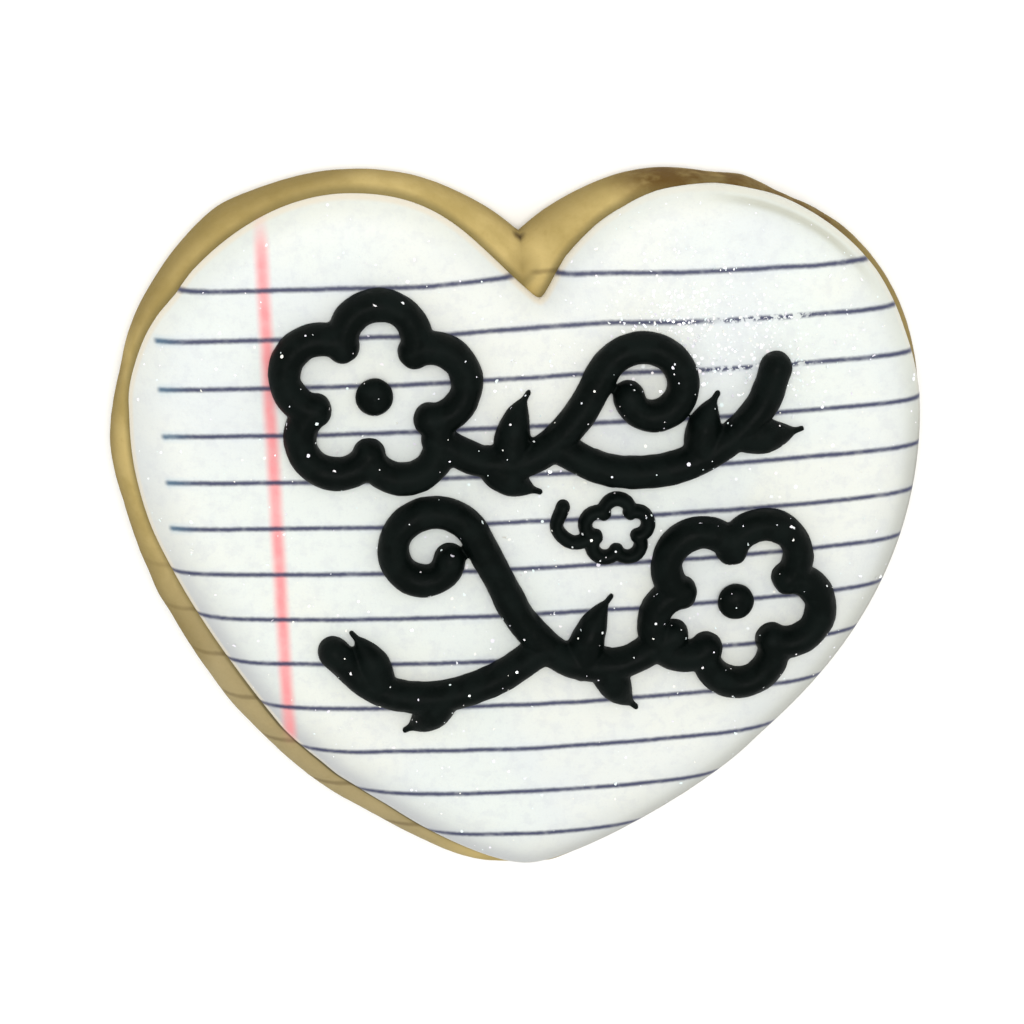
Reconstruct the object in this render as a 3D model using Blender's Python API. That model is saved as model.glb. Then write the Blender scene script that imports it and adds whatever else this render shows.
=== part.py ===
"""A heart-shaped sugar cookie with flooded white icing and black piped flower sprays.

Metres, +Z up. The underside lies on z = 0, and the origin is under the middle of the outline.
The cleft of the heart points to +Y and its tip to -Y. Outlines and strokes run in millimetres
on the plan and are scaled by MM where the meshes are made.
"""

import math

import bmesh
import bpy
import numpy as np

MM = 0.001

# Cookie: heights and the widths of its rounded edges, in millimetres.
WIDEST_HEIGHT = 2.8
EDGE_TOP = 7.6
SHOULDER_WIDTH = 3.0
FOOT_WIDTH = 1.3
COOKIE_DOME = 0.5

# Icing: the level of its widest line, the rounding of its rim and its low dome.
ICING_WIDEST = 8.4
ICING_RIM_WIDTH = 5.0
ICING_RIM_RISE = 2.2
ICING_DOME = 1.2
ICING_UNDERCUT = 0.35
DOME_REACH = 28.0

# Piping: the thick bead, the thin bead and how high a bead stands.
BEAD_WIDTH = 3.7
THIN_BEAD_WIDTH = 1.7
BEAD_HEIGHT = 2.9
LEAF_WIDTH = 4.2
TOUCHING_GAP = 0.3
STROKE_LIFT = 0.012
PETALS = 5

# A bead's section: shares of its half width across and of its height upwards.
SECTION_ACROSS = (-0.72, -1.0, -0.72, 0.0, 0.72, 1.0, 0.72)
SECTION_UPWARD = (0.0, 0.38, 0.80, 1.0, 0.80, 0.38, 0.0)
# A thin bead is lower, its height this share of its width.
THIN_BEAD_SHARE = 0.85
# A bead's end: how far it runs on, in half widths, and its size there.
END_REACH = 0.8
END_SIZE = 0.55
# A leaf: where in its swell it starts and ends, its narrowest share, and its height.
LEAF_START = 0.30
LEAF_END = 1.05
LEAF_NARROWEST = 0.16
LEAF_EDGE_HEIGHT = 0.3
LEAF_STEEPNESS = 1.35

# Where the rings of both outlines shrink to.
MIDDLE = np.array([1.0, 2.0])

# How finely curves are cut: points round an outline, steps in a span, length between bead rings.
OUTLINE_POINTS = 96
SPAN_STEPS = 40
STROKE_STEP = 1.6
SMOOTH_ANGLE = 40.0

# Outline anchors, clockwise from the cleft: x, y, travel direction, handle before, handle after.
# The cleft is a corner, so it has a direction and a handle on each side.
COOKIE_CLEFT = (0.2, 35.0)
COOKIE_CLEFT_LEAVE = (43, 5.5)
COOKIE_CLEFT_ARRIVE = (-40.5, 4.5)
COOKIE_ANCHORS = (
    (17.3, 42.1, 0, 6.4, 8.1),
    (46.55, 12.8, -90, 24.1, 24.0),
    (28.2, -27.3, -132, 10.0, 9.4),
    (3.4, -42.3, 180, 2.6, 9.3),
    (-20.6, -33.5, 147.2, 16.5, 17.6),
    (-46.5, 11.8, 90, 12.7, 2.0),
    (-18.2, 42.2, 0, 26.5, 9.5),
)
ICING_CLEFT = (2.2, 28.2)
ICING_CLEFT_LEAVE = (62, 9.0)
ICING_CLEFT_ARRIVE = (-40.6, 9.8)
ICING_ANCHORS = (
    (20.4, 41.0, 0, 9.5, 11.5),
    (45.6, 12.6, -90, 19.0, 22.6),
    (27.2, -25.7, -133.5, 5.5, 8.0),
    (0.9, -40.4, 180, 5.6, 7.6),
    (-28.1, -21.6, 125.3, 6.2, 28.9),
    (-43.7, 17.4, 90, 6.6, 7.8),
    (-18.9, 40.6, 0, 13.8, 11.0),
)


def clear_scene():
    for obj in list(bpy.data.objects):
        bpy.data.objects.remove(obj, do_unlink=True)


def finish(name, colour, roughness):
    material = bpy.data.materials.new(name)
    material.use_nodes = True
    shader = material.node_tree.nodes["Principled BSDF"]
    shader.inputs["Base Color"].default_value = (*colour, 1.0)
    shader.inputs["Roughness"].default_value = roughness
    shader.inputs["Metallic"].default_value = 0.0
    return material


def heading(degrees):
    return np.array([math.cos(math.radians(degrees)), math.sin(math.radians(degrees))])


def span(start, leave, end, arrive, steps):
    """Points of a cubic curve from start towards end, without end itself."""
    t = np.linspace(0.0, 1.0, steps, endpoint=False)[:, None]
    near = np.array(start) + leave
    far = np.array(end) - arrive
    return (
        (1 - t) ** 3 * np.array(start)
        + 3 * (1 - t) ** 2 * t * near
        + 3 * (1 - t) * t**2 * far
        + t**3 * np.array(end)
    )


def even_steps(path, count):
    """The path cut into count equal lengths."""
    lengths = np.linalg.norm(np.diff(path, axis=0), axis=1)
    along = np.concatenate([[0.0], np.cumsum(lengths)])
    wanted = np.linspace(0.0, along[-1], count + 1)
    columns = [np.interp(wanted, along, path[:, i]) for i in range(path.shape[1])]
    return np.stack(columns, axis=1)


def heart(cleft, anchors, leave, arrive):
    """A closed outline of evenly spaced points that starts in the cleft and runs clockwise."""
    start = (*cleft, leave[0], 0.0, leave[1])
    end = (*cleft, arrive[0], arrive[1], 0.0)
    stops = [start, *anchors, end]
    pieces = []
    for here, there in zip(stops[:-1], stops[1:]):
        out = heading(here[2]) * here[4]
        into = heading(there[2]) * there[3]
        pieces.append(span(here[:2], out, there[:2], into, SPAN_STEPS))
    pieces.append(np.array([cleft]))
    return even_steps(np.vstack(pieces), OUTLINE_POINTS)[:-1]


def cookie_outline():
    return heart(COOKIE_CLEFT, COOKIE_ANCHORS, COOKIE_CLEFT_LEAVE, COOKIE_CLEFT_ARRIVE)


def icing_outline():
    return heart(ICING_CLEFT, ICING_ANCHORS, ICING_CLEFT_LEAVE, ICING_CLEFT_ARRIVE)


def inset(outline, distance):
    """The outline moved inwards, with its corners kept by a mitre."""
    before = outline - np.roll(outline, 1, axis=0)
    after = np.roll(outline, -1, axis=0) - outline
    before /= np.linalg.norm(before, axis=1)[:, None]
    after /= np.linalg.norm(after, axis=1)[:, None]
    tangent = before + after
    tangent /= np.linalg.norm(tangent, axis=1)[:, None]
    mitre = 1.0 / (tangent * after).sum(axis=1)
    outward = np.stack([-tangent[:, 1], tangent[:, 0]], axis=1)
    return outline - outward * (distance * mitre)[:, None]


def edge_distance(points, outline):
    """How far each point lies from the outline."""
    start = outline[None, :, :]
    along = np.roll(outline, -1, axis=0)[None, :, :] - start
    offset = points[:, None, :] - start
    t = np.clip((offset * along).sum(axis=2) / (along**2).sum(axis=2), 0.0, 1.0)
    return np.linalg.norm(offset - t[..., None] * along, axis=2).min(axis=1)


def quarter_round(depth):
    """Height of a quarter ellipse, 0 at its edge and 1 from depth 1 inwards."""
    return np.sqrt(1.0 - (1.0 - np.clip(depth, 0.0, 1.0)) ** 2)


def low_dome(depth):
    reach = np.clip(depth / DOME_REACH, 0.0, 1.0)
    return reach * (2.0 - reach)


def cookie_top(points):
    depth = edge_distance(points, cookie_outline())
    rise = (EDGE_TOP - WIDEST_HEIGHT) * quarter_round(depth / SHOULDER_WIDTH)
    return WIDEST_HEIGHT + rise + COOKIE_DOME * low_dome(depth)


def icing_top(points):
    depth = edge_distance(points, icing_outline())
    rise = ICING_RIM_RISE * quarter_round(depth / ICING_RIM_WIDTH)
    return ICING_WIDEST + rise + ICING_DOME * low_dome(depth)


def level(plan, height):
    return np.column_stack([plan, np.full(len(plan), height)])


def draped(plan, surface, lift=0.0):
    return np.column_stack([plan, surface(plan) + lift])


def shrunk(plan, scale):
    return MIDDLE + (plan - MIDDLE) * scale


def add_object(name, material, mesh_maker):
    mesh = bpy.data.meshes.new(name)
    shape = bmesh.new()
    mesh_maker(shape)
    bmesh.ops.recalc_face_normals(shape, faces=shape.faces)
    shape.to_mesh(mesh)
    shape.free()
    mesh.shade_smooth()
    mesh.set_sharp_from_angle(angle=math.radians(SMOOTH_ANGLE))
    mesh.materials.append(material)
    obj = bpy.data.objects.new(name, mesh)
    bpy.context.scene.collection.objects.link(obj)
    return obj


def bridge(shape, lower, upper):
    count = len(lower)
    for i in range(count):
        j = (i + 1) % count
        shape.faces.new((lower[i], lower[j], upper[j], upper[i]))


def lofted(rings, first_pole, last_pole):
    """A mesh maker for rings of points closed by a fan of triangles at both ends."""

    def make(shape):
        rows = [[shape.verts.new(point * MM) for point in ring] for ring in rings]
        for lower, upper in zip(rows[:-1], rows[1:]):
            bridge(shape, lower, upper)
        for row, pole in ((rows[0], first_pole), (rows[-1], last_pole)):
            tip = shape.verts.new(np.array(pole) * MM)
            for i in range(len(row)):
                shape.faces.new((row[i], row[(i + 1) % len(row)], tip))

    return make


def edge_rings(outline, width, low, high, turns, rising):
    """Rings round a rounded edge: its foot when rising is False, else its shoulder."""
    rings = []
    for turn in turns:
        angle = math.radians(turn)
        plan = inset(outline, width * (1.0 - math.cos(angle)))
        share = math.sin(angle) if rising else 1.0 - math.sin(angle)
        rings.append(level(plan, low + (high - low) * share))
    return rings


def build_cookie():
    outline = cookie_outline()
    foot = edge_rings(outline, FOOT_WIDTH, 0.0, WIDEST_HEIGHT, (90, 50, 20), False)
    shoulder = edge_rings(
        outline, SHOULDER_WIDTH, WIDEST_HEIGHT, EDGE_TOP, (0, 25, 48, 68, 90), True
    )
    rim = shoulder[-1][:, :2]
    top = [draped(shrunk(rim, scale), cookie_top) for scale in (0.9, 0.6)]
    crown = (*MIDDLE, EDGE_TOP + COOKIE_DOME)
    material = finish("baked cookie", (0.56, 0.40, 0.17), 0.8)
    maker = lofted(foot + shoulder + top, (*MIDDLE, 0.0), crown)
    return add_object("cookie", material, maker)


def build_icing():
    outline = icing_outline()
    foot = inset(outline, ICING_UNDERCUT)
    scales = (0.5, 0.82, 0.92, 0.96, 0.985, 1.0)
    under = [draped(shrunk(foot, scale), cookie_top, TOUCHING_GAP) for scale in scales]
    widest = [draped(outline, icing_top)]
    scales = (0.99, 0.97, 0.94, 0.89, 0.78, 0.6, 0.36)
    top = [draped(shrunk(outline, scale), icing_top) for scale in scales]
    crown_height = ICING_WIDEST + ICING_RIM_RISE + ICING_DOME
    under_height = EDGE_TOP + COOKIE_DOME + TOUCHING_GAP
    material = finish("white icing", (0.88, 0.90, 0.86), 0.35)
    maker = lofted(under + widest + top, (*MIDDLE, under_height), (*MIDDLE, crown_height))
    return add_object("icing", material, maker)


def smooth_path(stops):
    """A curve through every stop, as x, y rows."""
    ends = [2 * np.array(stops[0]) - stops[1], 2 * np.array(stops[-1]) - stops[-2]]
    points = [ends[0], *[np.array(stop, float) for stop in stops], ends[1]]
    pieces = []
    for before, here, there, after in zip(points, points[1:], points[2:], points[3:]):
        pieces.append(span(here, (there - before) / 6, there, (after - here) / 6, 10))
    pieces.append(points[-2][None, :])
    return np.vstack(pieces)


def curl_from(path, radius, turns, hand, inner):
    """A spiral that carries on from the end of a path; hand is 1 for anticlockwise."""
    ahead = path[-1] - path[-2]
    ahead /= np.linalg.norm(ahead)
    centre = path[-1] + radius * hand * np.array([-ahead[1], ahead[0]])
    first = math.atan2(*(path[-1] - centre)[::-1])
    rows = []
    for share in np.linspace(0.0, 1.0, 40)[1:]:
        reach = radius * (1.0 - (1.0 - inner) * share)
        angle = first + hand * share * turns * 2.0 * math.pi
        rows.append(centre + reach * np.array([math.cos(angle), math.sin(angle)]))
    return np.vstack([path, rows])


def petals(centre, reach, radius, turn, sweep=103):
    """Open arcs, one a petal, whose ends lie over their neighbours'."""
    arcs = []
    for k in range(PETALS):
        axis = turn + 360.0 * k / PETALS
        middle = np.array(centre) + reach * heading(axis)
        angles = np.linspace(axis - sweep, axis + sweep, 24)
        arcs.append(np.array([middle + radius * heading(angle) for angle in angles]))
    return arcs


def leaf_path(base, degrees, length, bend):
    """A short stroke that turns by bend degrees on its way."""
    steps = 8
    points = [np.array(base, float)]
    for k in range(steps):
        points.append(points[-1] + length / steps * heading(degrees + bend * k / steps))
    return np.array(points)


def bead_shape(width, _):
    """Half width and height of a bead, even all along it."""
    return width / 2.0, min(BEAD_HEIGHT, THIN_BEAD_SHARE * width)


def leaf_shape(width, share):
    """Half width and height of a leaf; share runs from 0 at its base to 1 at its tip."""
    turn = min(1.0, LEAF_START + (LEAF_END - LEAF_START) * share)
    half = width / 2.0 * max(LEAF_NARROWEST, math.sin(math.pi * turn) ** 0.8)
    return half, min(BEAD_HEIGHT, LEAF_EDGE_HEIGHT + LEAF_STEEPNESS * half)


def add_stroke(name, material, path, width, shape_at, lift):
    """A bead of icing along the path, flat below and rounded above and at its ends."""
    length = np.linalg.norm(np.diff(path, axis=0), axis=1).sum()
    path = even_steps(path, max(4, round(length / STROKE_STEP)))
    ahead = np.gradient(path, axis=0)
    ahead /= np.linalg.norm(ahead, axis=1)[:, None]
    side = np.stack([-ahead[:, 1], ahead[:, 0]], axis=1)
    stations = [(0, -END_REACH, END_SIZE)]
    stations += [(i, 0.0, 1.0) for i in range(len(path))]
    stations += [(len(path) - 1, END_REACH, END_SIZE)]
    upward = np.array(SECTION_UPWARD)
    rings = []
    for i, beyond, size in stations:
        half, height = shape_at(width, i / (len(path) - 1))
        middle = path[i] + ahead[i] * beyond * half
        plan = np.array([middle + side[i] * half * size * x for x in SECTION_ACROSS])
        ground = icing_top(plan) + TOUCHING_GAP + lift
        rings.append(np.column_stack([plan, ground + height * size * upward]))

    def make(shape):
        rows = [[shape.verts.new(point * MM) for point in ring] for ring in rings]
        for lower, upper in zip(rows[:-1], rows[1:]):
            bridge(shape, lower, upper)
        shape.faces.new(rows[0])
        shape.faces.new(rows[-1])
        bmesh.ops.triangulate(shape, faces=shape.faces)

    return add_object(name, material, make)


def fuse(name, strokes):
    """One closed body out of overlapping strokes, by a Boolean union."""
    base, others = strokes[0], strokes[1:]
    group = bpy.data.collections.new(name + " strokes")
    bpy.context.scene.collection.children.link(group)
    for stroke in others:
        bpy.context.scene.collection.objects.unlink(stroke)
        group.objects.link(stroke)
    union = base.modifiers.new("union", "BOOLEAN")
    union.operation = "UNION"
    union.operand_type = "COLLECTION"
    union.solver = "EXACT"
    union.collection = group
    bpy.context.view_layer.update()
    evaluated = base.evaluated_get(bpy.context.evaluated_depsgraph_get())
    mesh = bpy.data.meshes.new_from_object(evaluated)
    base.modifiers.clear()
    base.data = mesh
    base.name = mesh.name = name
    for stroke in others:
        bpy.data.objects.remove(stroke, do_unlink=True)
    bpy.data.collections.remove(group)
    return base


def build_spray(name, material, flower, stem, curl, tail, leaves):
    """A flower outline on a vine that ends in a curl and a tail, all one bead."""
    runs = [(arc, BEAD_WIDTH, bead_shape) for arc in petals(**flower)]
    runs.append((curl_from(smooth_path(stem), **curl), BEAD_WIDTH, bead_shape))
    runs.append((smooth_path(tail), BEAD_WIDTH, bead_shape))
    runs += [(leaf_path(*leaf), LEAF_WIDTH, leaf_shape) for leaf in leaves]
    strokes = []
    for k, (path, width, shape_at) in enumerate(runs):
        lift = STROKE_LIFT * k
        strokes.append(add_stroke(f"{name} {k}", material, path, width, shape_at, lift))
    return fuse(name, strokes)


def build_upper_spray(material):
    return build_spray(
        "upper_spray",
        material,
        flower=dict(centre=(-16.5, 18.6), reach=6.3, radius=4.1, turn=84),
        stem=[(-9.6, 13.4), (-4.5, 10.9), (1.0, 11.2), (5.8, 15.4), (9.2, 21.4)],
        curl=dict(radius=5.4, turns=0.86, hand=-1, inner=0.42),
        tail=[(3.4, 12.6), (9.5, 9.6), (16.5, 9.6), (22.5, 12.4), (26.6, 16.6), (28.2, 21.0)],
        leaves=[
            ((-3.8, 10.9), -50, 7.0, 34),
            ((-1.2, 10.9), 95, 8.0, -40),
            ((20.0, 11.0), 92, 7.5, -34),
            ((24.0, 13.6), -12, 7.5, 28),
        ],
    )


def build_lower_spray(material):
    return build_spray(
        "lower_spray",
        material,
        flower=dict(centre=(24.4, -6.6), reach=6.1, radius=4.0, turn=60),
        stem=[(17.2, -10.4), (11.5, -13.6), (5.3, -13.2), (0.2, -8.6), (-3.0, -2.6), (-5.6, 2.6)],
        curl=dict(radius=5.6, turns=0.88, hand=1, inner=0.42),
        tail=[(2.2, -11.6), (-3.5, -15.4), (-10.5, -17.4), (-17.0, -16.0), (-21.6, -11.6)],
        leaves=[
            ((9.5, -13.6), -74, 7.0, 34),
            ((6.8, -13.9), 84, 9.0, -34),
            ((-9.0, -17.2), -120, 6.5, -34),
            ((-16.5, -16.2), 98, 7.5, 34),
        ],
    )


def build_small_flower(material):
    tail = [(8.2, 1.6), (5.6, 1.0), (3.8, 2.8), (4.5, 5.2)]
    runs = petals((10.6, 2.4), 2.2, 1.5, 90, sweep=98) + [smooth_path(tail)]
    strokes = []
    for k, path in enumerate(runs):
        lift = STROKE_LIFT * k
        stroke = add_stroke(f"small {k}", material, path, THIN_BEAD_WIDTH, bead_shape, lift)
        strokes.append(stroke)
    return fuse("small_flower", strokes)


def build_flower_eye(name, material, centre, radius=2.1, height=2.5):
    turns = np.arange(12) * math.pi / 6
    circle = np.stack([np.cos(turns), np.sin(turns)], axis=1) * radius
    rings = []
    for size, share in ((0.8, 0.0), (1.0, 0.35), (0.84, 0.75), (0.45, 0.96)):
        plan = np.array(centre) + circle * size
        rings.append(draped(plan, icing_top, TOUCHING_GAP + height * share))
    ground = icing_top(np.array([centre]))[0] + TOUCHING_GAP
    maker = lofted(rings, (*centre, ground), (*centre, ground + height))
    return add_object(name, material, maker)


def main():
    clear_scene()
    build_cookie()
    build_icing()
    black = finish("black icing", (0.012, 0.014, 0.013), 0.3)
    build_upper_spray(black)
    build_lower_spray(black)
    build_small_flower(black)
    build_flower_eye("upper_flower_eye", black, (-16.5, 18.6))
    build_flower_eye("lower_flower_eye", black, (24.4, -6.6))


main()
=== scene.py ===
import math

import bmesh
import bpy
import numpy as np
from mathutils import Matrix, Vector, noise


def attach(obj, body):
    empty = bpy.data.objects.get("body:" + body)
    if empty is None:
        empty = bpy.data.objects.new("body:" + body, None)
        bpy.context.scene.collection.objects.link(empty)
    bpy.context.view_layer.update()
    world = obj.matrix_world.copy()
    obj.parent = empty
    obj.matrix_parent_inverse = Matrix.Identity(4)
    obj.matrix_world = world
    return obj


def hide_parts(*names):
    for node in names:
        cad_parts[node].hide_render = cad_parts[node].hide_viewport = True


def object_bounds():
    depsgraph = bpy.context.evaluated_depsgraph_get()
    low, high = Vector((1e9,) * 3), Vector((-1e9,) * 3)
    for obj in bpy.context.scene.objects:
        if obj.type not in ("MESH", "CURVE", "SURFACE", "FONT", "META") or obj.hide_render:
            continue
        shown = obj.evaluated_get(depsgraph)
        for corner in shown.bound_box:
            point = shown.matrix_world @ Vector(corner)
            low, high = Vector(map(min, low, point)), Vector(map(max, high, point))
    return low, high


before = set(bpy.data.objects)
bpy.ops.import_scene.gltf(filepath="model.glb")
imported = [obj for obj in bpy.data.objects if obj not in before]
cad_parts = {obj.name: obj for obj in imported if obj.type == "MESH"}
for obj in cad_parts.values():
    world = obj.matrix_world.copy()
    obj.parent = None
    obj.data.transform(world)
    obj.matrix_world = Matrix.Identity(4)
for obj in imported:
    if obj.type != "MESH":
        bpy.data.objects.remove(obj)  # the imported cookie, its solids as the fixed frame
cadLow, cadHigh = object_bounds()
cadBox = [list(cadLow), list(cadHigh)]
print("frame loaded:", len(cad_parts), "solids")

mm = 0.001  # lengths below are in millimetres, and meshes are made in metres
heartMiddle = np.array([1.0, 2.0])  # the rings of both outlines shrink to this point
outlineSteps = 400  # points round an outline where only the distance to it counts
curveSteps = 120  # points of each curve between two anchors
domeReach = 28.0  # the tops stop rising this far in from the edge


def placed(name, data):
    thing = bpy.data.objects.new(name, data)
    bpy.context.scene.collection.objects.link(thing)
    return thing


def fill(node, values):
    for socket, value in values.items():
        node.inputs[socket].default_value = value


def newFinish(name, sockets):
    material = bpy.data.materials.new(name)
    material.use_nodes = True
    shader = material.node_tree.nodes["Principled BSDF"]
    fill(shader, sockets)
    return material, material.node_tree, shader


# camera, floor and light

photoCamera = {
    "place": (-22.57, 101.52, 301.26),  # above the cleft side, so the back wall shows
    "lookAt": (-0.95, 3.4, 8.0),
    "lens": 95.58,
    "sensorWidth": 36.0,
}

studio = {
    "floorSide": 3.0,  # metres
    "floor": {"Base Color": (0.985, 0.985, 0.985, 1), "Roughness": 0.9, "Specular IOR Level": 0.1},
    "sky": {"Color": (0.985, 1.0, 0.99, 1), "Strength": 0.84},
    "lamps": [
        # name, place in metres, side in metres, watts, colour
        ("overheadSoftbox", (-0.03, 0.17, 0.60), 0.40, 2.15, (1.0, 0.99, 0.975)),
        ("rightSoftbox", (0.50, 0.30, 0.55), 0.40, 0.35, (1.0, 0.99, 0.98)),
    ],
}


def addCamera(settings):
    data = bpy.data.cameras.new("photoCamera")
    data.lens = settings["lens"]
    data.sensor_width = settings["sensorWidth"]
    data.clip_start = 0.01
    data.clip_end = 20.0
    camera = placed("photoCamera", data)
    place = Vector(settings["place"]) * mm
    look = (Vector(settings["lookAt"]) * mm - place).normalized()
    right = look.cross(Vector((0.0, 1.0, 0.0))).normalized()
    turn = Matrix((right, right.cross(look), -look)).transposed().to_4x4()
    camera.matrix_world = Matrix.Translation(place) @ turn
    bpy.context.scene.camera = camera


def addLamp(name, place, side, watts, colour):
    data = bpy.data.lights.new(name, "AREA")
    data.shape = "DISK"
    data.size = side
    data.energy = watts
    data.color = colour
    lamp = placed(name, data)
    lamp.location = place
    lamp.rotation_mode = "QUATERNION"
    lamp.rotation_quaternion = Vector(place).to_track_quat("Z", "Y")


def addStudio(settings):
    half = settings["floorSide"] / 2
    mesh = bpy.data.meshes.new("studioFloor")
    corners = [(-half, -half, 0), (half, -half, 0), (half, half, 0), (-half, half, 0)]
    mesh.from_pydata(corners, [], [(0, 1, 2, 3)])
    mesh.materials.append(newFinish("paleFloor", settings["floor"])[0])
    floor = placed("studioFloor", mesh)
    world = bpy.data.worlds.new("softSky")
    world.use_nodes = True
    fill(world.node_tree.nodes["Background"], settings["sky"])
    bpy.context.scene.world = world
    for lamp in settings["lamps"]:
        addLamp(*lamp)


bpy.context.scene.view_settings.view_transform = "Standard"
addCamera(photoCamera)
addStudio(studio)
print("camera, floor and light are up")


# small helpers for node trees

def wire(value, socket):
    if isinstance(value, bpy.types.NodeSocket):
        socket.id_data.links.new(value, socket)
    elif isinstance(value, tuple) and len(value) == 3 and socket.type == "RGBA":
        socket.default_value = (*value, 1)
    else:
        socket.default_value = value


def nodeFor(kind, *values):
    # a new node in the tree that one of the values comes from
    tree = next(value.id_data for value in values if isinstance(value, bpy.types.NodeSocket))
    return tree.nodes.new(kind)


def calc(operation, first, second=0.0):
    node = nodeFor("ShaderNodeMath", first, second)
    node.operation = operation
    wire(first, node.inputs[0])
    wire(second, node.inputs[1])
    return node.outputs[0]


def times(*values):
    product = values[0]
    for value in values[1:]:
        product = calc("MULTIPLY", product, value)
    return product


def apart(value, middle):
    return calc("ABSOLUTE", calc("SUBTRACT", value, middle))


def step(value, start, end, low=0.0, high=1.0):
    # a soft step from low at start to high at end; start may be the larger
    node = nodeFor("ShaderNodeMapRange", value)
    node.interpolation_type = "SMOOTHSTEP"
    numbers = (value, start, end, low, high) if start < end else (value, end, start, high, low)
    for number, socket in zip(numbers, node.inputs):
        wire(number, socket)
    return node.outputs["Result"]


def blend(share, first, second, kind="MIX"):
    node = nodeFor("ShaderNodeMix", share, first, second)
    node.data_type = "RGBA"
    node.blend_type = kind
    sockets = [s for s in node.inputs if s.enabled]
    for value, socket in zip((share, first, second), sockets):
        wire(value, socket)
    return [s for s in node.outputs if s.enabled][0]


def layered(base, colours, layers):
    # each layer is a share and the name of the colour that it lays over the ones before
    for share, colour in layers:
        base = blend(share, base, colours[colour])
    return base


def placeInMm(tree):
    source = tree.nodes.new("ShaderNodeTexCoord").outputs["Object"]
    node = nodeFor("ShaderNodeVectorMath", source)
    node.operation = "SCALE"
    wire(source, node.inputs[0])
    fill(node, {"Scale": 1 / mm})
    return node.outputs[0]


def axes(place):
    node = nodeFor("ShaderNodeSeparateXYZ", place)
    wire(place, node.inputs[0])
    return tuple(node.outputs)


def grain(place, size, detail=3.0, rough=0.5):
    node = nodeFor("ShaderNodeTexNoise", place)
    wire(place, node.inputs["Vector"])
    fill(node, {"Scale": 1.0 / size, "Detail": detail, "Roughness": rough})
    return node.outputs["Fac"]


def painted(tree, name, output="Fac"):
    node = tree.nodes.new("ShaderNodeAttribute")
    node.attribute_name = name
    return node.outputs[output]


def bump(shader, height, depth):
    node = nodeFor("ShaderNodeBump", height)
    fill(node, {"Distance": depth * mm, "Strength": 1.0})
    wire(height, node.inputs["Height"])
    wire(node.outputs["Normal"], shader.inputs["Normal"])


# outlines: anchors are x, y, travel direction, handle before, handle after, clockwise from the cleft

cookieHeart = {
    "cleft": (0.2, 35.0),
    "leave": (43, 5.5),
    "arrive": (-40.5, 4.5),
    "cleftRadius": 0.15,
    "anchors": [
        (17.3, 42.1, 0, 6.4, 8.1),
        (46.55, 12.8, -90, 24.1, 24.0),
        (28.2, -27.3, -132, 10.0, 9.4),
        (3.4, -42.3, 180, 2.6, 9.3),
        (-20.6, -33.5, 147.2, 16.5, 17.6),
        (-46.5, 11.8, 90, 12.7, 2.0),
        (-18.2, 42.2, 0, 26.5, 9.5),
    ],
    # corners left by the cutter, and the flatter runs between them: x, y, how far out, half width
    "uneven": [
        (25.6, 41.2, 0.42, 4.2),
        (22.5, 42.0, -0.42, 11.0),
        (31.5, 38.6, -0.34, 6.5),
        (-33.9, 38.2, 0.24, 4.5),
        (-27.5, 41.2, -0.18, 6.0),
        (-40.5, 31.5, -0.10, 5.0),
        (-45.5, 4.5, -0.24, 6.5),
        (-46.0, 19.5, -0.22, 5.0),
        (-41.3, -6.3, 0.20, 3.0),
        (-33.0, -20.0, 0.14, 4.0),
        (-6.5, 39.9, -0.14, 5.0),
    ],
}

icingHeart = {
    "cleft": (2.2, 28.2),
    "leave": (62, 9.0),
    "arrive": (-40.6, 9.8),
    "cleftRadius": 0.6,
    "anchors": [
        (20.4, 41.0, 0, 9.5, 11.5),
        (45.6, 12.6, -90, 19.0, 22.6),
        (27.2, -25.7, -133.5, 5.5, 8.0),
        (0.9, -40.4, 180, 5.6, 7.6),
        (-28.1, -21.6, 125.3, 6.2, 28.9),
        (-43.7, 17.4, 90, 6.6, 7.8),
        (-18.9, 40.6, 0, 13.8, 11.0),
    ],
    # where the icing ran a little further or stopped short
    "uneven": [
        (5.2, 32.9, 0.22, 3.5),
        (11.3, 38.8, -0.20, 4.0),
        (44.4, 24.6, -0.30, 8.0),
        (-41.5, 2.8, 0.10, 5.0),
        (-41.2, 25.3, 0.14, 4.0),
        (-38.3, 29.9, -0.24, 3.0),
        (-21.6, -28.3, 0.16, 2.5),
        (-16.0, -32.8, -0.14, 4.5),
    ],
}


def heading(degrees):
    return np.array([math.cos(math.radians(degrees)), math.sin(math.radians(degrees))])


def span(start, leave, end, arrive, steps):
    # points of a cubic curve from start towards end, without end
    t = np.linspace(0.0, 1.0, steps, endpoint=False)[:, None]
    start, end = np.array(start), np.array(end)
    near, far = start + leave, end - arrive
    return (1 - t) ** 3 * start + 3 * (1 - t) ** 2 * t * near + 3 * (1 - t) * t**2 * far + t**3 * end


def evenSteps(path, count):
    lengths = np.linalg.norm(np.diff(path, axis=0), axis=1)
    along = np.concatenate([[0.0], np.cumsum(lengths)])
    wanted = np.linspace(0.0, along[-1], count + 1)
    return np.stack([np.interp(wanted, along, path[:, i]) for i in range(path.shape[1])], axis=1)


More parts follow.
